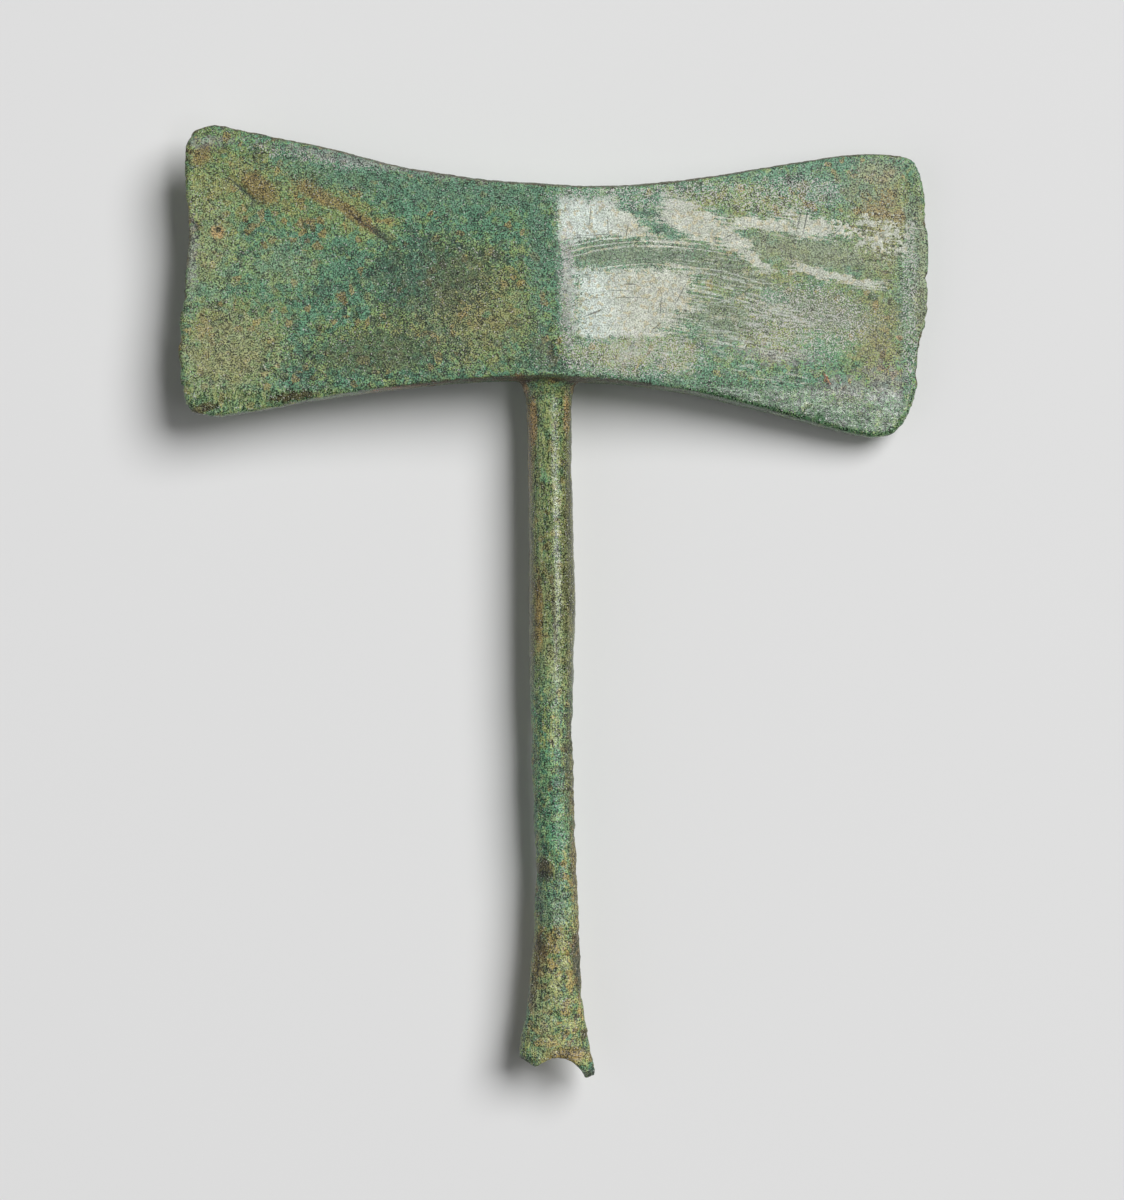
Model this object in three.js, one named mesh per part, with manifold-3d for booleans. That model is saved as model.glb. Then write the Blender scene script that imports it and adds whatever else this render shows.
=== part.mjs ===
// A small bronze double axe, cast in one piece with its rod. The rod once ended in a hanging eye,
// which has broken away. The axe lies as it comes to rest: on the flat worn along the ridge of its
// back, so that the whole piece leans a little to the right.
//
// Millimetres, +Z up from the surface it lies on, +Y from the rod towards the back of the head,
// +X along the head. The origin is on that surface, under the middle of the ridge.

import * as THREE from "three";
import { ParametricGeometry } from "three/addons/geometries/ParametricGeometry.js";
import { mergeGeometries, mergeVertices } from "three/addons/utils/BufferGeometryUtils.js";
import Module from "manifold-3d";

// ---------------------------------------------------------------- driving sizes

const RIDGE_THICKNESS = 10.4; // the head at its middle, from front ridge to back ridge
const EDGE_THICKNESS = 1.0; // the blades just inside their cutting edges
const FACE_HOLLOW = 1.1; // 1 gives flat faces, more hollows them between ridge and edge
const RIM_ROUNDING = 0.5; // how far in the long sides of the head are rounded over
const EDGE_BEVEL = 1.3; // how far in the cutting edges are bevelled
const BEVEL_LINE = 37.6; // where the bevel of the right blade starts, from the ridge
const LEAN = THREE.MathUtils.degToRad(3.2); // how far it leans to the right as it lies
const REST_WEAR = 0.18; // how much the back ridge is worn flat where it touches the surface

// The outline of the head, clockwise from the top of the ridge, which runs along X = 0.
const HEAD_OUTLINE = [
  [0, 10.45], [5, 10.3], [14, 11], [24, 12.6], [32, 13.75], [36.4, 13.6], // upper side, right blade
  [38.1, 12.8], [39, 11], [39.65, 6.5], [39.75, 1.5], [39.55, -3.8], // right cutting edge
  [38.6, -7.3], [38.65, -10], [37.9, -13],
  [36.4, -15.5], [34.3, -16.2], [31, -15.75], [24, -13.95], [15, -11.8], [7, -10.65], // lower side, right
  [0, -10.35], [-7, -10.4], [-15, -11.1], [-24, -12.3], [-32, -13.75], [-35.6, -14.1], // and left
  [-37.8, -13.4], [-38.85, -10.6], [-39.1, -6], [-38.45, 0.5], [-38.1, 6], [-38.5, 12], // left cutting edge
  [-37.75, 15.6], [-35.4, 16.6], [-32, 15.95], [-24, 14.35], [-15, 12.15], [-7, 10.95], // upper side, left
];
// Places in that list: the ends of the ridge, and the middle of each blade's two corners.
const RIDGE_TOP = 0;
const RIDGE_FOOT = 20;
const RIGHT_CORNERS = { upper: 6, lower: 14 };
const LEFT_CORNERS = { upper: 32, lower: 26 };

// The rod from its root inside the head to its flared end. y is the height along it, r its radius,
// bend how far its middle strays to the right, and flat its thickness as a share of its width.
const ROD_STATIONS = [
  { y: -7.2, r: 3.3, bend: -0.3, flat: 1 },
  { y: -9.9, r: 3.3, bend: -0.3, flat: 1 }, // the fillet under the head
  { y: -10.6, r: 2.85, bend: -0.28, flat: 1 },
  { y: -11.7, r: 2.48, bend: -0.25, flat: 1 },
  { y: -18.5, r: 2.36, bend: -0.16, flat: 1 },
  { y: -25, r: 2.44, bend: -0.04, flat: 1 },
  { y: -33.5, r: 2.54, bend: 0.08, flat: 1 },
  { y: -41.5, r: 2.4, bend: 0.02, flat: 1 },
  { y: -46.8, r: 2.24, bend: 0.04, flat: 1 },
  { y: -51.5, r: 2.34, bend: 0.14, flat: 1 },
  { y: -56.3, r: 2.28, bend: 0.28, flat: 1 },
  { y: -61, r: 2.24, bend: 0.5, flat: 0.98 },
  { y: -67.5, r: 2.5, bend: 0.54, flat: 0.88 },
  { y: -73.5, r: 2.84, bend: 0.42, flat: 0.75 },
  { y: -77, r: 3.26, bend: 0.36, flat: 0.64 },
  { y: -79.6, r: 3.78, bend: 0.34, flat: 0.54 },
  { y: -81.4, r: 4.08, bend: 0.48, flat: 0.48 },
  { y: -84.4, r: 4.34, bend: 0.6, flat: 0.44 },
];

// The hanging eye at the flattened end of the rod, and how each of its limbs has snapped.
const EYE = {
  x: 0.55,
  y: -84.4,
  radius: 3.05,
  leftBreak: { x: -2.7, y: -81.72, tilt: -0.5 },
  rightBreak: { x: 4.2, y: -83.35, tilt: 0.38 },
};

// How finely the surfaces are divided.
const FACE_COLUMNS = 26;
const FACE_ROWS = 22;
const ROD_SIDES = 32;
const ROD_STEPS = 48;
const EYE_SIDES = 40;

// ---------------------------------------------------------------- solids

const wasm = await Module();
wasm.setup();

// A closed three.js geometry as a solid that can be joined and cut.
function solidOf(geometry) {
  const bare = geometry.clone();
  bare.deleteAttribute("normal");
  bare.deleteAttribute("uv");
  const merged = mergeVertices(bare, 1e-4);
  return new wasm.Manifold(
    new wasm.Mesh({
      numProp: 3,
      vertProperties: merged.attributes.position.array,
      triVerts: new Uint32Array(merged.index.array),
    }),
  );
}

// The triangles of a solid as a three.js geometry.
function geometryOf(solid) {
  const mesh = solid.getMesh();
  const geometry = new THREE.BufferGeometry();
  geometry.setAttribute("position", new THREE.BufferAttribute(mesh.vertProperties, 3));
  geometry.setIndex(new THREE.BufferAttribute(mesh.triVerts, 1));
  geometry.computeVertexNormals();
  return geometry;
}

// ---------------------------------------------------------------- the head

const outline = new THREE.CatmullRomCurve3(
  HEAD_OUTLINE.map(([x, y]) => new THREE.Vector3(x, y, 0)),
  true,
  "centripetal",
);

// The outline a share of the way from one of its listed points to another.
function outlinePoint(from, to, share) {
  const place = THREE.MathUtils.lerp(from, to, share) / HEAD_OUTLINE.length;
  return outline.getPoint(place - Math.floor(place));
}

// How full the thickness is at a distance from a rounded rim: nothing at the rim, whole past width.
function roundedOver(distance, width) {
  const left = 1 - Math.min(Math.max(distance / width, 0), 1);
  return Math.sqrt(1 - left * left);
}

// Half the thickness of the blade at a distance from the ridge, before its rims are rounded.
function halfThickness(fromRidge) {
  const left = Math.max(1 - fromRidge / BEVEL_LINE, 0);
  return (EDGE_THICKNESS + (RIDGE_THICKNESS - EDGE_THICKNESS) * left ** FACE_HOLLOW) / 2;
}

// One face of one blade, as a sheet stretched between the ridge, the two long sides and the edge.
function bladeFace(corners, ridgeTop, side, face) {
  const ridge = { top: outlinePoint(0, ridgeTop, 1), foot: outlinePoint(0, RIDGE_FOOT, 1) };
  const corner = { upper: outlinePoint(0, corners.upper, 1), lower: outlinePoint(0, corners.lower, 1) };
  const outwards = side * face > 0;

  return new ParametricGeometry((across, turn, target) => {
    const up = (1 - Math.cos(Math.PI * (outwards ? turn : 1 - turn))) / 2; // rows crowd at the rims
    const upper = outlinePoint(ridgeTop, corners.upper, across);
    const lower = outlinePoint(RIDGE_FOOT, corners.lower, across);
    const edge = outlinePoint(corners.lower, corners.upper, up);
    const middle = ridge.foot.clone().lerp(ridge.top, up);

    // A Coons patch: the two blends of opposite sides, less the blend of the four corners.
    const alongSides = lower.clone().lerp(upper, up);
    const alongEnds = middle.lerp(edge, across);
    const nearEnd = ridge.foot.clone().lerp(ridge.top, up);
    const farEnd = corner.lower.clone().lerp(corner.upper, up);
    target.copy(alongSides).add(alongEnds).sub(nearEnd.lerp(farEnd, across));

    const height = upper.distanceTo(lower);
    target.z =
      face *
      halfThickness(Math.abs(target.x)) *
      roundedOver(up * height, RIM_ROUNDING) *
      roundedOver((1 - up) * height, RIM_ROUNDING) *
      roundedOver(target.distanceTo(edge), EDGE_BEVEL);
  }, FACE_COLUMNS, FACE_ROWS);
}

function makeHead() {
  const faces = [];
  for (const face of [1, -1]) {
    faces.push(bladeFace(RIGHT_CORNERS, RIDGE_TOP, 1, face));
    faces.push(bladeFace(LEFT_CORNERS, HEAD_OUTLINE.length, -1, face));
  }
  return solidOf(mergeGeometries(faces));
}

// ---------------------------------------------------------------- the rod and its broken eye

// The rod's sizes at a height, smoothly between its stations.
function rodAt(y) {
  const last = ROD_STATIONS.length - 1;
  let i = ROD_STATIONS.findIndex((station) => station.y < y) - 1;
  if (i < 0) i = y > ROD_STATIONS[0].y ? 0 : last - 1;
  const [a, b] = [ROD_STATIONS[i], ROD_STATIONS[i + 1]];
  const share = THREE.MathUtils.clamp((y - a.y) / (b.y - a.y), 0, 1);
  const ease = (key) => THREE.MathUtils.lerp(a[key], b[key], THREE.MathUtils.smoothstep(share, 0, 1));
  return { r: ease("r"), bend: ease("bend"), flat: ease("flat") };
}

// Turned as a straight round rod, then bent, and flattened towards its end.
function makeRod() {
  const root = ROD_STATIONS[0].y;
  const end = ROD_STATIONS[ROD_STATIONS.length - 1].y;
  const profile = [new THREE.Vector2(0, end)];
  for (let i = ROD_STEPS; i >= 0; i--) {
    const y = THREE.MathUtils.lerp(root, end, i / ROD_STEPS);
    profile.push(new THREE.Vector2(rodAt(y).r, y));
  }
  profile.push(new THREE.Vector2(0, root));

  const rod = new THREE.LatheGeometry(profile, ROD_SIDES);
  const places = rod.attributes.position;
  for (let i = 0; i < places.count; i++) {
    const { bend, flat } = rodAt(places.getY(i));
    places.setX(i, places.getX(i) + bend);
    places.setZ(i, places.getZ(i) * flat);
  }
  return solidOf(rod);
}

function makeEyeHole() {
  const hole = new THREE.CylinderGeometry(EYE.radius, EYE.radius, RIDGE_THICKNESS, EYE_SIDES);
  hole.rotateX(Math.PI / 2);
  hole.translate(EYE.x, EYE.y, 0);
  return solidOf(hole);
}

// What is lost of the eye past one of its breaks.
function makeLostPiece({ x, y, tilt }) {
  const reach = 8 * EYE.radius;
  const lost = new THREE.BoxGeometry(reach, reach, reach);
  lost.translate(0, -reach / 2, 0);
  lost.rotateZ(tilt);
  lost.translate(x, y, 0);
  return solidOf(lost);
}

// ---------------------------------------------------------------- the casting, as it lies

function makeCasting() {
  const entire = makeHead().add(makeRod()).subtract(makeEyeHole());
  const broken = entire
    .subtract(makeLostPiece(EYE.leftBreak))
    .subtract(makeLostPiece(EYE.rightBreak));

  // Leaning, with the back ridge on the surface under the origin.
  const ridgeDepth = RIDGE_THICKNESS / 2;
  const lying = geometryOf(broken);
  lying.rotateY(LEAN);
  lying.translate(ridgeDepth * Math.sin(LEAN), 0, ridgeDepth * Math.cos(LEAN) - REST_WEAR);

  // The ridge is worn flat where it would reach below the surface.
  const below = new THREE.BoxGeometry(400, 400, 50);
  below.translate(0, 0, -25);
  return geometryOf(solidOf(lying).subtract(solidOf(below)));
}

const patina = new THREE.MeshStandardMaterial({ color: 0x5f7a5a, roughness: 0.62, metalness: 0.15 });

const axe = new THREE.Mesh(makeCasting(), patina);
axe.name = "double_axe";

const part = new THREE.Group();
part.name = "bronze_double_axe";
part.add(axe);

export default part;
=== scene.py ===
import math

import bmesh
import bpy
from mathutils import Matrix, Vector


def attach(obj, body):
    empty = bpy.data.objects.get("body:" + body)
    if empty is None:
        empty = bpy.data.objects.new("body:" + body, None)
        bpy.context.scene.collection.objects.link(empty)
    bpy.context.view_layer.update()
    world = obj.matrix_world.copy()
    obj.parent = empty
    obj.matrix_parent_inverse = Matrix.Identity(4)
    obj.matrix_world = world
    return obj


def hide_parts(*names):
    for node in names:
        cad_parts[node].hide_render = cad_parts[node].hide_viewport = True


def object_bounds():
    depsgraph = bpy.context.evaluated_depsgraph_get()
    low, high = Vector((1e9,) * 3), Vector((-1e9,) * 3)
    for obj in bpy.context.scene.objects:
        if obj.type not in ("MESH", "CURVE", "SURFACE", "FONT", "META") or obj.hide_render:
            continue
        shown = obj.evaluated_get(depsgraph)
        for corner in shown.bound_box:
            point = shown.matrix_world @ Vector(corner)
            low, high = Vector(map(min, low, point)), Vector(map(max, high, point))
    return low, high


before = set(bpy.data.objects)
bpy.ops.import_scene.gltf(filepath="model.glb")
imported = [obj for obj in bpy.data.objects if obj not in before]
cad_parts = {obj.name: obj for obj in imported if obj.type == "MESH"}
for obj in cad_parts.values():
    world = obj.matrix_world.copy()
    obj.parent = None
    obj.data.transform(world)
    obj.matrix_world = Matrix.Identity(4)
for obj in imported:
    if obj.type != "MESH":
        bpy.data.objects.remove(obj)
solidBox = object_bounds()
scene = bpy.context.scene
mm = 0.001


# small helpers for building node trees, used by the relief and by the patina


def plug(tree, value, socket):
    if isinstance(value, bpy.types.NodeSocket):
        tree.links.new(value, socket)
    else:
        socket.default_value = value


def addNode(tree, kind, feeds=None, **settings):
    node = tree.nodes.new(kind)
    for name, value in settings.items():
        setattr(node, name, value)
    for key, value in (feeds or {}).items():
        plug(tree, value, node.inputs[key])
    return node


def calc(tree, operation, *values):
    return addNode(tree, "ShaderNodeMath", dict(enumerate(values)), operation=operation).outputs[0]


def times(tree, first, second):
    return calc(tree, "MULTIPLY", first, second)


def aboutZero(tree, value):
    return calc(tree, "SUBTRACT", value, 0.5)


def vectorCalc(tree, operation, *values):
    feeds = dict(enumerate(values))
    if operation == "SCALE":
        feeds = {0: values[0], "Scale": values[1]}
    node = addNode(tree, "ShaderNodeVectorMath", feeds, operation=operation)
    return node.outputs["Value" if operation in ("LENGTH", "DISTANCE") else "Vector"]


def mixColour(tree, share, first, second, blend="MIX"):
    feeds = {0: share}
    for socket, colour in ((6, first), (7, second)):
        feeds[socket] = (*colour, 1) if isinstance(colour, tuple) else colour
    return addNode(tree, "ShaderNodeMix", feeds, data_type="RGBA", blend_type=blend).outputs[2]


def mixValue(tree, share, first, second):
    return addNode(tree, "ShaderNodeMix", {0: share, 2: first, 3: second}).outputs[0]


def ramp(tree, value, low, high, start=0.0, end=1.0):
    feeds = {"Value": value, "From Min": low, "From Max": high, "To Min": start, "To Max": end}
    return addNode(tree, "ShaderNodeMapRange", feeds, interpolation_type="SMOOTHSTEP").outputs["Result"]


def noise(tree, coords, perMm, detail=2.0, roughness=0.5, distortion=0.0):
    feeds = {"Vector": coords, "Scale": perMm, "Detail": detail}
    feeds.update({"Roughness": roughness, "Distortion": distortion})
    return addNode(tree, "ShaderNodeTexNoise", feeds)


def axes(tree, coords):
    return addNode(tree, "ShaderNodeSeparateXYZ", {0: coords}).outputs


# how far a point is from the nearest of some oval spots: 0 at a centre, 1 at its edge
def spotDistance(tree, flat, spots, boxy=False):
    nearest = None
    for x, y, halfLong, halfWide, turn in spots:
        feeds = {"Vector": flat, "Center": (x, y, 0), "Angle": -math.radians(turn)}
        turned = addNode(tree, "ShaderNodeVectorRotate", feeds, rotation_type="Z_AXIS").outputs[0]
        scale = (1 / halfLong, 1 / halfWide, 0)
        moved = vectorCalc(tree, "MULTIPLY_ADD", turned, scale, (-x / halfLong, -y / halfWide, 0))
        if boxy:
            u, v, _ = axes(tree, vectorCalc(tree, "ABSOLUTE", moved))
            distance = calc(tree, "SMOOTH_MAX", u, v, 0.3)
        else:
            distance = vectorCalc(tree, "LENGTH", moved)
        nearest = distance if nearest is None else calc(tree, "MINIMUM", nearest, distance)
    return nearest


# the wrinkled crust that both the relief and the patina follow
def wrinkles(tree, here):
    return noise(tree, here, 0.85, 3.0, 0.6, 0.7).outputs[0]


# a soft distance broken up by a noise, so that its edge crumbles into specks
def crumble(tree, distance, grain, spread, edge):
    shaken = calc(tree, "MULTIPLY_ADD", aboutZero(tree, grain), spread, distance)
    return ramp(tree, shaken, 1 + edge, 1 - edge)


# the casting: the solid's own skin, remeshed fine, then weathered inwards; depths are in mm

casting = {
    "voxel": 0.27 * mm,
    "smoothing": 4,
    "Swell depth": 0.07,
    "Crust depth": 0.09,
    "Rod lumps": 0.11,
    "Pit depth": 0.16,
    "Edge nibble": 0.3,
    "Edge reach": 0.26,
    "Ridge wear": 0.35,
    "Seed": 7.0,
    "swellsPerMm": 0.25,
    "lumpsPerMm": 0.7,
    "pitsPerMm": 0.45,
    "pitRarity": 0.72,
    "bitesPerMm": 0.42,
    "calmShare": 0.72,  # how much of the crust is worn off in the calm areas
    "cuttingEdges": (35.5, 38.5),
    "calmAreas": [(21.0, -1.0, 26.0, 20.0, 0), (0.3, -26.0, 6.0, 22.0, 0)],
    "dents": [  # x, y, half length, half width in mm, turn in degrees
        (-34.6, 5.5, 0.5, 0.45, 20),
        (-31.7, 9.4, 2.5, 0.16, -43),
        (-37.0, 6.0, 0.7, 0.25, -60),
        (25.1, 10.6, 0.5, 0.4, 0),
        (33.9, 2.5, 0.8, 0.25, -5),
        (32.6, 1.5, 0.9, 0.25, 8),
        (0.2, -7.2, 0.5, 0.9, 0),
        (-0.2, -5.0, 0.4, 0.6, 0),
        (-0.5, -62.0, 0.6, 0.9, 0),
        (3.0, -71.0, 0.5, 1.6, 5),
    ],
}


def copySolid(node, name):
    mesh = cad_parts[node].data.copy()
    mesh.name = name
    mesh.materials.clear()
    merged = bmesh.new()
    merged.from_mesh(mesh)
    bmesh.ops.remove_doubles(merged, verts=merged.verts, dist=1e-7)
    merged.to_mesh(mesh)
    merged.free()
    piece = bpy.data.objects.new(name, mesh)
    scene.collection.objects.link(piece)
    return piece


def weatherTree(skin):
    tree = bpy.data.node_groups.new("weatherCasting", "GeometryNodeTree")
    tree.interface.new_socket("Geometry", in_out="INPUT", socket_type="NodeSocketGeometry")
    amounts = [name for name in casting if name[0].isupper()]
    for name in amounts:
        tree.interface.new_socket(name, in_out="INPUT", socket_type="NodeSocketFloat")
    tree.interface.new_socket("Geometry", in_out="OUTPUT", socket_type="NodeSocketGeometry")
    given = addNode(tree, "NodeGroupInput").outputs
    place = addNode(tree, "GeometryNodeInputPosition").outputs[0]
    normal = addNode(tree, "GeometryNodeInputNormal").outputs[0]
    here = vectorCalc(tree, "SCALE", place, 1 / mm)
    seed = addNode(tree, "ShaderNodeCombineXYZ", {"Z": given["Seed"]}).outputs[0]
    shifted = vectorCalc(tree, "ADD", here, seed)
    x, y, z = axes(tree, here)
    flat = addNode(tree, "ShaderNodeCombineXYZ", {"X": x, "Y": y}).outputs[0]
    up = axes(tree, normal)[2]
    slope = calc(tree, "ABSOLUTE", up)

    # how far each point is from the rounded rims
    feeds = {"Geometry": given["Geometry"], "Selection": calc(tree, "LESS_THAN", slope, 0.3)}
    rimFaces = addNode(tree, "GeometryNodeSeparateGeometry", feeds, domain="FACE").outputs["Selection"]
    toRim = addNode(tree, "GeometryNodeProximity", {0: rimFaces}, target_element="FACES").outputs["Distance"]
    rim = calc(tree, "DIVIDE", toRim, mm)

    swell = ramp(tree, noise(tree, shifted, casting["swellsPerMm"], 2.0).outputs[0], 0.3, 0.7)
    crust = ramp(tree, wrinkles(tree, here), 0.36, 0.6)
    calm = ramp(tree, spotDistance(tree, flat, casting["calmAreas"]), 1.15, 0.9, 0.0, casting["calmShare"])
    calm = times(tree, calm, ramp(tree, up, 0.0, 0.3))
    crust = times(tree, crust, calc(tree, "SUBTRACT", 1.0, calm))
    lumps = ramp(tree, noise(tree, shifted, casting["lumpsPerMm"], 3.0, 0.6).outputs[0], 0.62, 0.4)
    lumps = times(tree, lumps, ramp(tree, y, -38.0, -55.0))
    cells = addNode(tree, "ShaderNodeTexVoronoi", {"Vector": shifted, "Scale": casting["pitsPerMm"]})
    chance = axes(tree, cells.outputs["Color"])[0]
    chosen = calc(tree, "GREATER_THAN", chance, casting["pitRarity"])
    pit = times(tree, ramp(tree, cells.outputs["Distance"], 0.2, 0.04), chosen)
    dent = ramp(tree, spotDistance(tree, flat, casting["dents"]), 1.4, 0.5)
    pit = calc(tree, "MAXIMUM", pit, times(tree, dent, ramp(tree, up, 0.1, 0.4)))
    bites = ramp(tree, noise(tree, shifted, casting["bitesPerMm"], 3.0, 0.6).outputs[0], 0.5, 0.68)
    ends = ramp(tree, calc(tree, "ABSOLUTE", x), *casting["cuttingEdges"])
    ends = times(tree, ends, ramp(tree, rim, 1.2, 0.0))
    bite = times(tree, bites, ends)
    ridge = ramp(tree, calc(tree, "ABSOLUTE", calc(tree, "SUBTRACT", x, 0.4)), 2.2, 0.0)
    worn = times(tree, ridge, ramp(tree, y, 1.0, -6.0, 0.1, 1.0))
    worn = times(tree, worn, ramp(tree, y, -10.6, -9.6))

    depth = times(tree, swell, given["Swell depth"])
    shares = (crust, lumps, pit, bite, worn)
    for share, size in zip(shares, ("Crust depth", "Rod lumps", "Pit depth", "Edge nibble", "Ridge wear")):
        depth = calc(tree, "MULTIPLY_ADD", share, given[size], depth)
    depth = calc(tree, "SUBTRACT", depth, times(tree, ends, given["Edge reach"]))
    depth = times(tree, depth, ramp(tree, z, 0.03, 0.4))
    moved = vectorCalc(tree, "MULTIPLY_ADD", normal, times(tree, depth, -mm), place)
    moved = vectorCalc(tree, "MAXIMUM", vectorCalc(tree, "MINIMUM", moved, solidBox[1]), solidBox[0])

    feeds = {"Geometry": given["Geometry"], "Position": moved}
    flow = addNode(tree, "GeometryNodeSetPosition", feeds).outputs[0]
    for name, value in (("rim", rim), ("hollow", calc(tree, "ADD", pit, aboutZero(tree, crust)))):
        feeds = {"Geometry": flow, "Name": name, "Value": value}
        flow = addNode(tree, "GeometryNodeStoreNamedAttribute", feeds, domain="POINT").outputs[0]
    flow = addNode(tree, "GeometryNodeSetShadeSmooth", {"Geometry": flow}).outputs[0]
    flow = addNode(tree, "GeometryNodeRealizeInstances", {"Geometry": flow}).outputs[0]
    flow = addNode(tree, "GeometryNodeSetMaterial", {"Geometry": flow, "Material": skin}).outputs[0]
    addNode(tree, "NodeGroupOutput", {0: flow})
    return tree


def makeCasting(skin):
    rough = copySolid("double_axe", "axeCastingRough")
    remesh = rough.modifiers.new("fineSkin", "REMESH")
    remesh.mode = "VOXEL"
    remesh.voxel_size = casting["voxel"]
    smooth = rough.modifiers.new("softCorners", "SMOOTH")
    smooth.factor = 0.5
    smooth.iterations = casting["smoothing"]
    weather = rough.modifiers.new("weatherCasting", "NODES")
    weather.node_group = weatherTree(skin)
    for item in weather.node_group.interface.items_tree:
        if item.in_out == "INPUT" and item.name in casting:
            weather[item.identifier] = casting[item.name]
    evaluated = rough.evaluated_get(bpy.context.evaluated_depsgraph_get())
    mesh = bpy.data.meshes.new_from_object(evaluated)
    rough.modifiers.clear()
    bpy.data.objects.remove(rough)
    mesh.name = "axeCasting"
    piece = bpy.data.objects.new("axeCasting", mesh)
    scene.collection.objects.link(piece)
    return piece


# the patina: colours are linear; a spot is x, y, half length, half width in mm and a turn in degrees

patina = {
    "finePerMm": 7.0,
    "clumpPerMm": 1.8,
    "broadPerMm": 0.2,
    "fleckPerMm": 1.5,
    "headFoot": (-11.6, -10.6),  # y where the rod gives way to the head
    "glossyPart": (-46.0, -40.0),  # y where the rod becomes glossy
    "headContrast": 1.15,
    "rodContrast": 1.3,
    "glossyContrast": 1.1,
    "headRoughness": 0.62,
    "rodRoughness": 0.42,
    "polishedRoughness": 0.36,
    "glossyRoughness": 0.2,
    "reliefPerMm": 1.8,
    "reliefDepth": 0.19,
    "rubbingTurn": 7.0,
    "rubbingStretch": (0.35, 4.5, 1.0),
    "rodGreenShare": 0.45,
    # how strong the painted sheen over the right blade's upper side is
    "paintedSheenShare": 0.055,
    "teal": (0.085, 0.21, 0.122),
    "leafGreen": (0.16, 0.25, 0.09),
    "olive": (0.225, 0.235, 0.078),
    "dark": (0.02, 0.045, 0.03),
    "tan": (0.29, 0.2, 0.065),
    "lime": (0.27, 0.3, 0.12),
    "greyPale": (0.38, 0.41, 0.36),
    "edgeBrown": (0.085, 0.055, 0.028),
    # pale colours of the worn patches on the right blade, partly a painted sheen of the lamp
    "coolPale": (0.5, 0.57, 0.51),
    "warmPale": (0.43, 0.45, 0.365),
    "warmAreas": [
        (-35.0, 8.0, 4.5, 7.0, 0),
        (-30.0, 10.0, 5.0, 3.0, -35),
        (-33.5, -7.0, 6.0, 4.5, 10),
        (-22.0, 8.0, 7.0, 2.5, -35),
        (-18.0, -6.5, 8.0, 3.0, 5),
        (-7.5, -2.0, 5.0, 6.0, 0),
        (25.0, -3.0, 10.0, 5.0, -8),
        (9.0, -7.5, 7.0, 2.2, 0),
        (35.0, -4.0, 4.0, 8.0, 0),
        (20.0, 8.5, 7.0, 1.6, -3),
        (35.0, 8.0, 4.0, 3.0, 0),
        (0.3, -27.0, 4.0, 18.0, 0),
        (1.0, -72.0, 4.0, 9.0, 0),
        (0.3, -81.0, 5.0, 3.0, 0),
    ],
    "polish": [
        (3.9, 6.4, 2.9, 2.1, 0),
        (7.3, 6.0, 2.3, 1.5, -20),
        (9.0, 5.1, 2.6, 0.8, -18),
        (12.5, 4.2, 3.0, 0.4, -8),
        (15.2, 6.4, 3.5, 1.5, -24),
        (19.3, 4.6, 2.0, 1.0, -45),
        (21.8, 2.3, 2.0, 0.5, -38),
        (22.6, 6.1, 3.4, 0.6, -3),
        (29.6, 5.8, 4.6, 1.1, -5),
        (35.2, 5.2, 2.9, 1.9, -8),
        (27.6, 1.3, 2.2, 0.5, -14),
        (31.6, 0.5, 3.6, 0.4, -10),
        (8.2, -1.7, 5.4, 3.2, 0),
        (12.4, -0.9, 2.4, 2.3, -6),
        (7.4, -4.6, 4.4, 1.1, 0),
    ],
    "halfPolish": [
        (1.9, 0.5, 0.9, 7.5, 0),
        (16.6, -2.2, 2.4, 1.4, -12),
        (8.5, -7.2, 7.5, 2.6, -4),
        (19.5, -5.6, 6.0, 1.6, -10),
        (18.5, 0.0, 6.0, 1.8, -8),
        (25.0, -3.4, 5.0, 1.4, -8),
        (24.0, -9.7, 5.5, 0.6, -8),
        (33.5, 0.5, 3.0, 0.6, -8),
    ],
    "holeArea": [(34.0, 5.4, 6.0, 3.2, -5)],
    "fleckAreas": [
        (32.5, 9.8, 6.0, 3.6, 0),
        (23.5, 9.4, 2.0, 1.0, 0),
        (-25.0, 5.0, 4.0, 1.6, -30),
        (0.5, -74.0, 4.0, 8.0, 0),
    ],
    "smoothAreas": [
        (11.0, -0.5, 13.0, 8.5, 0),
        (27.0, -1.0, 10.0, 7.0, -5),
    ],
    "strokeArea": [
        (8.5, 3.2, 7.0, 1.7, 3),
        (17.0, 2.0, 6.0, 1.6, -14),
        (19.0, -1.6, 4.0, 2.2, -10),
    ],
    "creamSpeck": (0.42, 0.36, 0.19),
    "rodGreen": (0.15, 0.205, 0.098),
    "greenSpeck": (0.2, 0.27, 0.16),
    # painted glints: white specks standing in for grains that catch the lamp, a painted highlight
    "paintedGlint": (0.6, 0.58, 0.56),
    "paintedGlintAreas": [
        (10.0, 8.8, 11.0, 1.1, 0),
        (-24.0, 12.8, 7.0, 0.5, -10),
        (25.0, 9.2, 6.0, 2.2, 5),
        (2.0, -1.0, 1.0, 8.0, 0),
        (27.0, -4.0, 7.0, 4.0, 0),
        (9.0, -7.6, 8.0, 2.4, 0),
        (16.0, 9.7, 6.0, 0.9, 3),
        (38.0, -2.0, 0.9, 9.0, 0),
    ],
    "strokeCentre": (11.2, -32.7),
    "strokeRadius": 36.6,
    "strokesPerMm": 13.0,
    "strokeBands": [(37.1, 0.9), (34.4, 0.5), (32.2, 1.0), (29.4, 0.8)],
}
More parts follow.
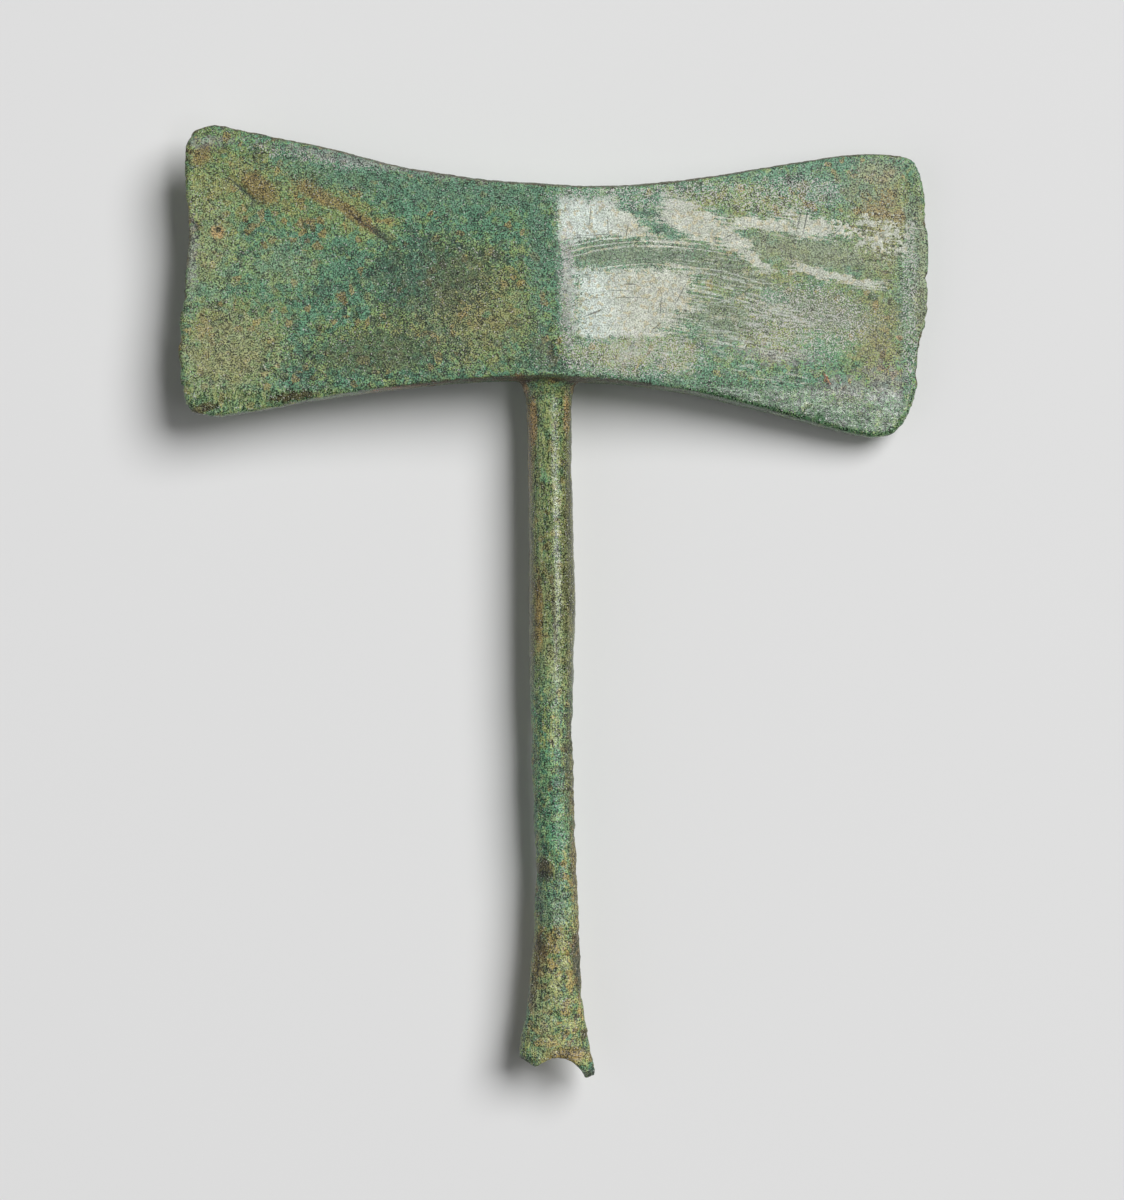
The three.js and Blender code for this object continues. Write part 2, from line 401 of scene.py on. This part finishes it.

# stains of the upper side, among them a painted highlight and a painted shade on the rod; the larger the
# spread, the further their edges crumble
stainsAndPaintedLight = {
    "ochre": {
        "colour": (0.215, 0.15, 0.05),
        "share": 0.78,
        "spread": 1.6,
        "spots": [
            (-30.3, 9.9, 2.3, 1.2, -42),
            (-24.3, 9.3, 2.8, 0.8, -30),
            (-20.3, 7.0, 3.6, 0.6, -36),
            (-36.4, 13.3, 1.3, 0.8, 55),
            (-24.9, 6.4, 0.6, 0.3, 0),
            (-21.6, -1.6, 0.5, 0.7, 30),
            (34.4, 7.6, 1.7, 0.7, -15),
            (35.4, 9.3, 1.2, 0.8, -10),
            (36.9, 7.2, 0.7, 0.8, 0),
            (33.2, 9.5, 0.6, 0.45, 0),
            (35.0, 11.0, 0.7, 0.4, 0),
            (31.2, 9.7, 0.45, 0.4, 0),
            (32.2, 11.4, 0.5, 0.3, 0),
            (26.6, 10.2, 0.8, 0.5, 0),
            (27.4, 8.3, 0.6, 0.4, 0),
            (-2.4, -18.0, 0.7, 7.0, 0),
            (3.0, -58.0, 0.8, 9.0, 0),
            (-1.0, -34.6, 0.4, 4.0, 0),
            (1.8, -81.0, 2.4, 0.9, 10),
        ],
    },
    "thinOchre": {
        "colour": (0.25, 0.2, 0.09),
        "share": 0.45,
        "spread": 5.5,
        "spots": [
            (-33.5, -6.8, 4.5, 3.4, 0),
            (-8.0, -3.5, 5.5, 4.5, 0),
            (35.5, 6.6, 3.0, 4.0, 0),
            (34.5, -5.5, 1.6, 3.0, -20),
        ],
    },
    "rust": {
        "colour": (0.26, 0.11, 0.03),
        "share": 0.75,
        "spread": 2.2,
        "spots": [
            (-3.2, -10.6, 0.9, 1.0, 0),
            (3.4, -10.9, 1.1, 0.8, 0),
        ],
    },
    "brown": {
        "colour": (0.075, 0.05, 0.024),
        "share": 0.8,
        "spread": 2.0,
        "spots": [
            (-36.2, -13.2, 1.6, 0.5, 20),
            (-26.6, -11.9, 2.6, 0.4, 8),
            (0.2, -7.4, 0.4, 1.2, 0),
            (-0.4, -61.3, 0.9, 1.3, 10),
            (3.1, -71.0, 0.7, 3.4, 5),
            (-0.8, -70.0, 0.7, 2.0, 0),
            (-1.6, -74.5, 0.4, 2.0, 0),
            (-18.6, 5.6, 2.6, 0.2, -38),
            (-2.6, -24.0, 0.3, 6.0, 0),
            (0.6, -35.0, 0.2, 5.0, 3),
            (3.8, -78.7, 0.5, 0.6, 0),
            (-2.8, -81.6, 0.6, 0.5, 0),
            (4.0, -83.3, 0.9, 0.5, 20),
        ],
    },
    "paleGreenAndHighlight": {
        "colour": (0.3, 0.36, 0.21),
        "share": 0.3,
        "spread": 5.0,
        "spots": [
            (-33.5, -7.5, 5.0, 4.5, 0),
            (-35.5, 3.0, 3.0, 6.0, 0),
            (-28.0, 2.0, 3.0, 2.0, 0),
            (-0.8, -77.0, 1.4, 4.5, 0),
            # the last spot is a painted highlight along the lit side of the rod
            (0.8, -38.0, 0.9, 9.0, 0),
        ],
    },
    "greyGreen": {
        "colour": (0.15, 0.195, 0.12),
        "share": 0.72,
        "spread": 2.6,
        "spots": [
            (9.5, 3.0, 8.0, 1.5, 0),
            (18.5, 1.2, 6.0, 1.6, -20),
            (27.0, -2.8, 8.0, 2.2, -8),
            (17.0, -3.8, 6.0, 2.2, -8),
        ],
    },
    "halo": {
        "colour": (0.36, 0.24, 0.1),
        "share": 0.85,
        "spread": 1.4,
        "spots": [
            (-34.6, 5.3, 0.75, 0.7, 0),
            (31.4, 0.4, 0.4, 0.35, 0),
            (-2.9, -11.2, 0.8, 0.7, 0),
            (3.2, -11.2, 0.9, 0.7, 0),
            (-1.6, -14.4, 0.4, 2.6, 0),
            (1.9, -13.8, 0.35, 2.2, 0),
        ],
    },
    "orange": {
        "colour": (0.5, 0.15, 0.05),
        "share": 0.75,
        "spread": 1.8,
        "spots": [
            (29.2, -10.0, 0.8, 0.2, -65),
            (-15.2, -11.1, 3.6, 0.22, 6),
            (36.9, -5.6, 0.35, 0.3, 0),
            (-38.3, 1.9, 0.25, 0.5, 0),
        ],
    },
    "shadowGreen": {
        "colour": (0.03, 0.07, 0.045),
        "share": 0.6,
        "spread": 3.2,
        "spots": [
            (-16.6, 1.8, 2.8, 1.5, 60),
            (-12.5, 4.0, 2.2, 1.3, 10),
            (-24.0, -1.0, 0.9, 1.6, -20),
            (-1.0, -7.0, 1.5, 2.6, 0),
            (0.0, -8.6, 3.0, 1.2, 0),
            (25.1, 10.6, 0.8, 0.6, 0),
            (-12.0, 0.5, 8.0, 4.5, 10),
            (-18.0, -7.5, 9.0, 3.0, 5),
            (-17.0, 4.6, 2.2, 0.5, -42),
            (2.4, -26.0, 0.8, 14.0, 0),
            (20.0, -12.2, 6.0, 1.2, -14),
            (29.0, -14.2, 5.0, 1.2, -12),
            (2.6, -46.0, 0.8, 8.0, 0),
            (-2.4, -81.6, 1.0, 0.8, 0),
            (4.2, -83.0, 1.2, 0.8, 0),
        ],
    },
    "greyOlive": {
        "colour": (0.27, 0.275, 0.165),
        "share": 0.6,
        "spread": 2.6,
        "spots": [
            (27.5, 3.3, 7.5, 1.5, -7),
            (34.5, 11.6, 2.4, 1.4, 0),
            (38.9, 1.5, 1.0, 7.0, 2),
        ],
    },
    "brownOliveAndShade": {
        "colour": (0.105, 0.09, 0.036),
        "share": 0.6,
        "spread": 2.0,
        "spots": [
            (2.7, -28.0, 1.4, 18.0, 0),
            (2.8, -52.0, 1.4, 9.0, 0),
            # the last spot is painted shade on the rod's left side, the side away from the softbox
            (-2.1, -33.0, 0.8, 9.0, 0),
        ],
    },
    "deepTeal": {
        "colour": (0.06, 0.14, 0.062),
        "share": 0.56,
        "spread": 2.6,
        "spots": [
            (30.0, -13.0, 9.0, 2.2, -11),
            (19.0, -11.2, 8.0, 1.4, -10),
        ],
    },
    "emerald": {
        "colour": (0.08, 0.24, 0.13),
        "share": 0.55,
        "spread": 3.2,
        "spots": [
            (23.5, -1.4, 1.5, 1.0, -10),
            (14.5, -4.9, 1.4, 0.8, 0),
            (29.2, -6.9, 2.4, 1.6, 0),
            (-7.5, 4.7, 0.3, 0.3, 0),
            (-6.5, -3.5, 0.3, 0.3, 0),
            (-0.6, -20.3, 0.35, 0.6, 0),
            (-1.8, -44.6, 0.4, 1.8, 0),
            (-0.4, -51.4, 1.1, 2.2, 0),
            (0.6, -57.0, 1.6, 2.6, 0),
        ],
    },
    "bluish": {
        "colour": (0.1, 0.2, 0.13),
        "share": 0.6,
        "spread": 3.0,
        "spots": [
            (30.4, 9.8, 4.5, 1.6, -5),
            (37.6, -4.5, 1.0, 6.0, 3),
            (36.0, -12.2, 2.4, 1.4, -12),
            (38.2, 4.0, 0.7, 5.0, 0),
            (7.5, -9.7, 8.0, 0.9, -4),
            (-21.0, 11.2, 9.0, 1.8, -10),
            (-8.0, 9.2, 9.0, 1.6, -4),
            (-1.2, 4.0, 1.0, 6.0, 0),
            (0.6, -65.5, 1.8, 2.4, 0),
        ],
    },
    "lilac": {
        "colour": (0.27, 0.25, 0.26),
        "share": 0.52,
        "spread": 5.0,
        "spots": [
            (35.4, -10.4, 2.4, 2.2, 0),
            (31.4, -10.9, 2.8, 1.0, -5),
            (-20.0, 12.7, 10.0, 0.6, -10),
            (24.0, -7.6, 4.0, 0.8, -8),
            (-35.6, 14.8, 2.4, 0.6, 0),
            (2.0, 0.0, 0.7, 6.0, 0),
            (-37.4, 3.5, 0.6, 4.0, 0),
        ],
    },
}

# dark cracks and scratches
cracks = {
    "colour": (0.03, 0.045, 0.022),
    "lines": [
        (-32.0, 9.7, 2.5, 0.1, -41),
        (-37.0, 6.0, 0.6, 0.1, -62),
        (-34.6, 5.5, 0.32, 0.3, 20),
        (25.2, 10.8, 0.2, 0.5, 20),
        (33.9, 2.5, 0.6, 0.1, -5),
        (32.6, 1.5, 0.8, 0.1, 8),
        (35.6, 1.3, 0.7, 0.1, -8),
        (29.2, -10.2, 0.9, 0.14, -60),
        (17.6, 1.2, 0.7, 0.09, -8),
        (4.8, -3.2, 1.0, 0.09, 22),
        (26.3, 6.7, 1.3, 0.08, 76),
        (27.0, 6.7, 1.5, 0.08, 78),
        (8.5, -0.2, 0.7, 0.08, 0),
        (7.6, -0.9, 1.4, 0.05, -2),
        (8.4, -1.6, 1.5, 0.05, 1),
        (13.8, -1.2, 1.3, 0.06, 62),
        (11.3, -4.6, 0.7, 0.07, 40),
        (11.7, -2.6, 1.1, 0.06, 86),
        (4.3, 6.6, 1.2, 0.06, 84),
        (6.2, 6.0, 1.0, 0.06, 92),
        (8.2, 5.4, 0.8, 0.06, 80),
        (5.0, 4.9, 1.6, 0.05, 4),
        (19.0, 5.0, 0.6, 0.07, 30),
        (30.2, 5.4, 0.8, 0.06, 42),
        (0.9, -28.0, 0.35, 0.1, 0),
        (0.1, -52.5, 0.5, 0.12, 70),
    ],
}


# strokes of an old cleaning that swung round one point: a few thin lines, broken along their length
def cleaningStrokes(tree, flat):
    centre = (*patina["strokeCentre"], 0)
    across, along, _ = axes(tree, vectorCalc(tree, "SUBTRACT", flat, centre))
    radius = vectorCalc(tree, "DISTANCE", flat, centre)
    swing = times(tree, calc(tree, "ARCTAN2", across, along), patina["strokeRadius"])
    feeds = {"X": times(tree, radius, 1.8), "Y": times(tree, swing, 0.15)}
    broken = noise(tree, addNode(tree, "ShaderNodeCombineXYZ", feeds).outputs[0], 1.0, 2.0, 0.6).outputs[0]
    bundles = None
    for middle, halfWidth in patina["strokeBands"]:
        reach = calc(tree, "ABSOLUTE", calc(tree, "SUBTRACT", radius, middle))
        bundle = ramp(tree, reach, 1.3 * halfWidth, 0.7 * halfWidth)
        bundles = bundle if bundles is None else calc(tree, "MAXIMUM", bundles, bundle)
    phase = calc(tree, "MULTIPLY_ADD", broken, 9.0, times(tree, radius, patina["strokesPerMm"]))
    lines = ramp(tree, calc(tree, "SINE", phase), 0.0, 0.9)
    lines = times(tree, lines, ramp(tree, broken, 0.35, 0.55, 0.3, 1.0))
    return times(tree, lines, ramp(tree, bundles, 0.0, 1.0, 0.2, 1.15))


# fine rubbing marks that run out along the right blade
def rubbingMarks(tree, flat):
    feeds = {"Vector": flat, "Angle": math.radians(patina["rubbingTurn"])}
    turned = addNode(tree, "ShaderNodeVectorRotate", feeds, rotation_type="Z_AXIS").outputs[0]
    stretched = vectorCalc(tree, "MULTIPLY", turned, patina["rubbingStretch"])
    return noise(tree, stretched, 1.0, 2.0, 0.55).outputs[0]


# the flat place pushed about by a noise, so that whatever is drawn there has a wandering edge
def wander(tree, here, flat, perMm, reach):
    push = vectorCalc(tree, "SUBTRACT", noise(tree, here, perMm, 2.0).outputs["Color"], (0.5,) * 3)
    return vectorCalc(tree, "MULTIPLY_ADD", push, (reach, reach, 0), flat)


def patinaMaterial():
    material = bpy.data.materials.new("patinatedBronze")
    material.use_nodes = True
    tree = material.node_tree
    tree.nodes.clear()
    shader = addNode(tree, "ShaderNodeBsdfPrincipled")
    addNode(tree, "ShaderNodeOutputMaterial", {"Surface": shader.outputs[0]})
    texture = addNode(tree, "ShaderNodeTexCoord").outputs
    here = vectorCalc(tree, "SCALE", texture["Object"], 1 / mm)
    x, y, _ = axes(tree, here)
    flat = addNode(tree, "ShaderNodeCombineXYZ", {"X": x, "Y": y}).outputs[0]
    front = ramp(tree, axes(tree, texture["Normal"])[2], -0.05, 0.2)
    rim = addNode(tree, "ShaderNodeAttribute", attribute_name="rim").outputs["Fac"]
    hollow = addNode(tree, "ShaderNodeAttribute", attribute_name="hollow").outputs["Fac"]
    onHead = ramp(tree, y, *patina["headFoot"])
    pastRidge = calc(tree, "SUBTRACT", x, ramp(tree, y, 2.0, -7.0, 0.25, 1.0))
    rightBlade = times(tree, ramp(tree, pastRidge, 0.0, 0.9), onHead)
    onRod = calc(tree, "SUBTRACT", 1.0, onHead)
    glossyRod = times(tree, ramp(tree, y, *patina["glossyPart"]), onRod)

    fine = axes(tree, noise(tree, here, patina["finePerMm"], 0.0).outputs["Color"])
    clump = axes(tree, noise(tree, here, patina["clumpPerMm"], 1.0, 0.6).outputs["Color"])
    broad = axes(tree, noise(tree, here, patina["broadPerMm"], 1.0).outputs["Color"])
    crust = wrinkles(tree, here)
    mixed = calc(tree, "MULTIPLY_ADD", aboutZero(tree, clump[0]), 0.5, fine[0])
    drifted = wander(tree, here, flat, 0.3, 6.0)
    ragged = wander(tree, here, flat, 1.0, 1.3)
    near = wander(tree, here, flat, 2.0, 0.5)
    streaks = noise(tree, vectorCalc(tree, "MULTIPLY", here, (6.0, 1.3, 6.0)), 1.0, 1.0).outputs[0]
    blotches = noise(tree, vectorCalc(tree, "MULTIPLY", here, (1.5, 0.33, 1.5)), 1.0, 2.0, 0.6).outputs[0]
    streaks = calc(tree, "MULTIPLY_ADD", aboutZero(tree, blotches), 0.8, aboutZero(tree, streaks))
    streaks = times(tree, streaks, onRod)

    # flecks: cells with crumbled edges, each with its own hue and tone
    shake = addNode(tree, "ShaderNodeCombineXYZ", dict(enumerate(fine))).outputs[0]
    shaken = vectorCalc(tree, "MULTIPLY_ADD", shake, (0.18,) * 3, here)
    cells = addNode(tree, "ShaderNodeTexVoronoi", {"Vector": shaken, "Scale": patina["fleckPerMm"]})
    fleck = axes(tree, cells.outputs["Color"])

    # grains of teal, green and olive, their shares drifting over the faces
    warm = ramp(tree, spotDistance(tree, drifted, patina["warmAreas"]), 1.7, 0.3)
    warm = calc(tree, "ADD", warm, aboutZero(tree, broad[0]))
    warm = calc(tree, "MULTIPLY_ADD", onRod, 0.15, warm)
    drift = calc(tree, "MULTIPLY_ADD", aboutZero(tree, fine[1]), 0.6, times(tree, warm, 0.5))
    drift = calc(tree, "MULTIPLY_ADD", aboutZero(tree, clump[1]), 0.6, drift)
    drift = calc(tree, "MULTIPLY_ADD", aboutZero(tree, fleck[0]), 0.45, drift)
    drift = calc(tree, "MULTIPLY_ADD", streaks, 1.6, drift)
    colour = mixColour(tree, ramp(tree, drift, -0.05, 0.4), patina["teal"], patina["leafGreen"])
    colour = mixColour(tree, ramp(tree, drift, 0.3, 0.75), colour, patina["olive"])
    tan = calc(tree, "MULTIPLY_ADD", aboutZero(tree, warm), 0.06, fleck[1])
    flecked = ramp(tree, spotDistance(tree, ragged, patina["fleckAreas"]), 1.2, 0.5, 0.0, 0.26)
    tan = calc(tree, "ADD", tan, flecked)
    tan = calc(tree, "MULTIPLY_ADD", rightBlade, -0.04, tan)
    colour = mixColour(tree, ramp(tree, tan, 0.91, 0.94, 0.0, 0.65), colour, patina["tan"])
    colour = mixColour(tree, ramp(tree, fleck[1], 0.14, 0.06, 0.0, 0.35), colour, patina["lime"])
    colour = mixColour(tree, ramp(tree, fleck[2], 0.1, 0.04, 0.0, 0.5), colour, patina["dark"])
    colour = mixColour(tree, times(tree, glossyRod, patina["rodGreenShare"]), colour, patina["rodGreen"])

    # the stains of the upper side, with the painted highlight and painted shade on the rod
    for turn, tint in enumerate(stainsAndPaintedLight.values()):
        grain = times(tree, calc(tree, "ADD", fine[turn % 3], clump[(turn + 1) % 3]), 0.5)
        place = near if tint["spread"] < 2.5 else ragged
        share = crumble(tree, spotDistance(tree, place, tint["spots"]), grain, tint["spread"], 0.3)
        share = times(tree, times(tree, share, front), tint["share"])
        colour = mixColour(tree, share, colour, tint["colour"])

    # rubbed bright patches on the right blade: worn, smoother patina, with their pale colour partly a
    # painted sheen of the lamp
    rightFront = times(tree, rightBlade, front)
    strokes = cleaningStrokes(tree, flat)
    inStrokes = ramp(tree, spotDistance(tree, flat, patina["strokeArea"]), 1.2, 0.8)
    marks = calc(tree, "SUBTRACT", ramp(tree, rubbingMarks(tree, flat), 0.42, 0.62), 0.35)
    marks = times(tree, marks, ramp(tree, x, 8.0, 16.0))
    full = spotDistance(tree, ragged, patina["polish"], boxy=True)
    half = calc(tree, "MULTIPLY_ADD", spotDistance(tree, drifted, patina["halfPolish"]), 0.35, 0.97)
    polish = calc(tree, "MINIMUM", full, half)
    polish = mixValue(tree, times(tree, inStrokes, 0.75), polish, 1.32)
    polish = calc(tree, "MULTIPLY_ADD", times(tree, strokes, inStrokes), -0.6, polish)
    polish = calc(tree, "MULTIPLY_ADD", marks, -0.5, polish)
    holed = ramp(tree, spotDistance(tree, ragged, patina["holeArea"]), 1.3, 0.5)
    holes = times(tree, ramp(tree, clump[1], 0.44, 0.54), holed)
    polish = calc(tree, "MULTIPLY_ADD", holes, 0.7, polish)
    polished = times(tree, crumble(tree, polish, mixed, 1.1, 0.1), rightFront)
    smooth = ramp(tree, spotDistance(tree, drifted, patina["smoothAreas"]), 1.3, 0.7)
    smooth = calc(tree, "MAXIMUM", times(tree, smooth, rightFront), polished)
    paleWearAndSheen = mixColour(tree, ramp(tree, x, 4.5, 9.0), patina["coolPale"], patina["warmPale"])
    paleWearAndSheen = mixColour(tree, ramp(tree, full, 1.05, 1.4), paleWearAndSheen, patina["greyPale"])
    paleWearAndSheen = mixColour(tree, ramp(tree, clump[2], 0.55, 0.6, 0.0, 0.7), paleWearAndSheen, patina["creamSpeck"])
    paleWearAndSheen = mixColour(tree, ramp(tree, mixed, 0.38, 0.3, 0.0, 0.6), paleWearAndSheen, patina["greenSpeck"])
    # painted sheen: a faint pale film over the right blade's upper side, the side turned to the lamp, fading
    # out near its lower edge
    paintedSheen = times(tree, rightFront, ramp(tree, y, -13.0, -4.0, 0.0, patina["paintedSheenShare"]))
    # the pale colour laid on the worn patches: worn patina, partly lightened as a painted sheen
    wornAndSheenShare = times(tree, polished, ramp(tree, full, 1.5, 1.0, 0.7, 0.97))
    colour = mixColour(tree, calc(tree, "MAXIMUM", wornAndSheenShare, paintedSheen), colour, paleWearAndSheen)

    # cracks, dirt in the hollows, a dark line round the rims
    split = ramp(tree, spotDistance(tree, flat, cracks["lines"]), 1.3, 0.7)
    colour = mixColour(tree, times(tree, times(tree, split, front), 0.75), colour, cracks["colour"])
    creases = calc(tree, "ABSOLUTE", calc(tree, "SUBTRACT", crust, 0.52))
    creases = times(tree, ramp(tree, creases, 0.02, 0.0), ramp(tree, clump[0], 0.45, 0.6, 0.0, 0.55))
    creases = times(tree, creases, mixValue(tree, polished, 1.0, 0.4))
    colour = mixColour(tree, creases, colour, patina["dark"])
    colour = mixColour(tree, times(tree, ramp(tree, hollow, 0.35, 1.0), 0.5), colour, patina["dark"])
    edgeLine = ramp(tree, calc(tree, "MULTIPLY_ADD", clump[2], 0.6, rim), 0.62, 0.34)
    edgeLine = times(tree, times(tree, edgeLine, onHead), ramp(tree, front, 0.0, 1.0, 0.25, 0.8))
    colour = mixColour(tree, edgeLine, colour, patina["edgeBrown"])

    # light and dark grains, and painted glints: white specks standing in for grains that catch the lamp,
    # thickest along the upper edge
    light = aboutZero(tree, ramp(tree, fine[2], 0.32, 0.68))
    light = times(tree, light, ramp(tree, clump[0], 0.35, 0.65, 0.9, 1.5))
    light = calc(tree, "MULTIPLY_ADD", aboutZero(tree, fleck[2]), 0.25, light)
    light = calc(tree, "MULTIPLY_ADD", aboutZero(tree, crust), -0.6, light)
    contrast = mixValue(tree, glossyRod, patina["rodContrast"], patina["glossyContrast"])
    light = times(tree, light, mixValue(tree, onHead, contrast, patina["headContrast"]))
    light = calc(tree, "MULTIPLY_ADD", streaks, 2.0, light)
    light = calc(tree, "MAXIMUM", calc(tree, "ADD", light, 1.0), 0.15)
    evened = times(tree, calc(tree, "ADD", polished, smooth), 0.25)
    light = mixValue(tree, evened, light, 1.0)
    bright = addNode(tree, "ShaderNodeCombineXYZ", {0: light, 1: light, 2: light}).outputs[0]
    colour = mixColour(tree, 1.0, colour, bright, "MULTIPLY")
    paintedGlints = ramp(tree, spotDistance(tree, ragged, patina["paintedGlintAreas"]), 1.2, 0.8, 0.0, 0.15)
    paintedGlints = calc(tree, "SUBTRACT", 0.72, times(tree, paintedGlints, front))
    paintedGlints = ramp(tree, calc(tree, "SUBTRACT", fine[0], paintedGlints), 0.0, 0.06, 0.0, 0.8)
    colour = mixColour(tree, paintedGlints, colour, patina["paintedGlint"])
    plug(tree, colour, shader.inputs["Base Color"])

    roughness = mixValue(tree, onHead, patina["rodRoughness"], patina["headRoughness"])
    roughness = mixValue(tree, polished, roughness, patina["polishedRoughness"])
    roughness = mixValue(tree, glossyRod, roughness, patina["glossyRoughness"])
    shaking = mixValue(tree, glossyRod, 0.5, 0.32)
    roughness = calc(tree, "MULTIPLY_ADD", aboutZero(tree, fine[1]), shaking, roughness)
    roughness = calc(tree, "MULTIPLY_ADD", aboutZero(tree, clump[0]), 0.2, roughness)
    plug(tree, calc(tree, "MAXIMUM", roughness, 0.14), shader.inputs["Roughness"])
    shader.inputs["IOR"].default_value = 1.55
    height = noise(tree, here, patina["reliefPerMm"], 3.0, 0.65).outputs[0]
    strength = mixValue(tree, smooth, 0.6, mixValue(tree, polished, 0.4, 0.12))
    strength = mixValue(tree, rightBlade, 1.0, strength)
    strength = mixValue(tree, glossyRod, strength, 0.36)
    relief = {"Height": height, "Strength": strength, "Distance": patina["reliefDepth"] * mm}
    plug(tree, addNode(tree, "ShaderNodeBump", relief).outputs[0], shader.inputs["Normal"])
    return material


# light, floor and camera

stage = {
    "floorSize": 4.0,
    "floorGrey": 0.8,
    "floorRoughness": 0.95,
    "lightDistance": 4.0,
    "keyTilt": 38.0,
    "keyTurn": 38.0,
    "keyRadius": 18.0,
    "keyPower": 159.0,
    "stripTilt": 20.0,
    "stripTurn": 0.0,
    "stripSize": (0.6, 2.4),
    "stripPower": 17.0,
    "cardTilt": 55.0,
    "cardTurn": 198.0,
    "cardRadius": 34.0,
    "cardPower": 27.0,
    "fill": 0.04,
    "eyeHeight": 0.7,
    "focusHeight": 0.005,
    "viewHeight": 0.126,
    "viewCentre": (1.4, -33.2),
}


# an area light aimed at the origin; tilt is from straight above, turn is round from +X
def hangLight(name, tiltDegrees, turnDegrees, power):
    tilt = math.radians(tiltDegrees)
    turn = math.radians(turnDegrees)
    towards = Vector((math.sin(tilt) * math.cos(turn), math.sin(tilt) * math.sin(turn), math.cos(tilt)))
    light = bpy.data.lights.new(name, "AREA")
    light.energy = power
    lamp = bpy.data.objects.new(name, light)
    lamp.location = towards * stage["lightDistance"]
    lamp.rotation_euler = towards.to_track_quat("Z", "Y").to_euler()
    scene.collection.objects.link(lamp)
    return light


def makeRound(light, radiusDegrees):
    light.shape = "DISK"
    light.size = 2 * stage["lightDistance"] * math.tan(math.radians(radiusDegrees))


def makeStage():
    bpy.ops.mesh.primitive_plane_add(size=stage["floorSize"])
    floor = bpy.context.object
    floor.name = "paleFloor"
    paper = bpy.data.materials.new("palePaper")
    paper.use_nodes = True
    shader = paper.node_tree.nodes["Principled BSDF"]
    shader.inputs["Base Color"].default_value = (*[stage["floorGrey"]] * 3, 1)
    shader.inputs["Roughness"].default_value = stage["floorRoughness"]
    shader.inputs["Specular IOR Level"].default_value = 0.0
    floor.data.materials.append(paper)

    softbox = hangLight("softbox", stage["keyTilt"], stage["keyTurn"], stage["keyPower"])
    makeRound(softbox, stage["keyRadius"])
    card = hangLight("whiteCard", stage["cardTilt"], stage["cardTurn"], stage["cardPower"])
    makeRound(card, stage["cardRadius"])
    strip = hangLight("stripLight", stage["stripTilt"], stage["stripTurn"], stage["stripPower"])
    strip.shape = "RECTANGLE"
    strip.size_y, strip.size = stage["stripSize"]

    world = bpy.data.worlds.new("studioFill")
    world.use_nodes = True
    background = world.node_tree.nodes["Background"]
    background.inputs["Color"].default_value = (1, 1, 1, 1)
    background.inputs["Strength"].default_value = stage["fill"]
    scene.world = world
    scene.view_settings.view_transform = "Standard"

    lens = bpy.data.cameras.new("overhead")
    lens.sensor_width = 36
    lens.lens = lens.sensor_width * (stage["eyeHeight"] - stage["focusHeight"]) / stage["viewHeight"]
    lens.clip_start = 0.01
    eye = bpy.data.objects.new("overhead", lens)
    eye.location = (stage["viewCentre"][0] * mm, stage["viewCentre"][1] * mm, stage["eyeHeight"])
    scene.collection.objects.link(eye)
    scene.camera = eye


makeStage()
print("stage ready")
axe = makeCasting(patinaMaterial())
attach(axe, "root")
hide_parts("double_axe")
triangles = sum(len(face.vertices) - 2 for face in axe.data.polygons)
print("axe casting:", len(axe.data.polygons), "faces", triangles, "triangles")
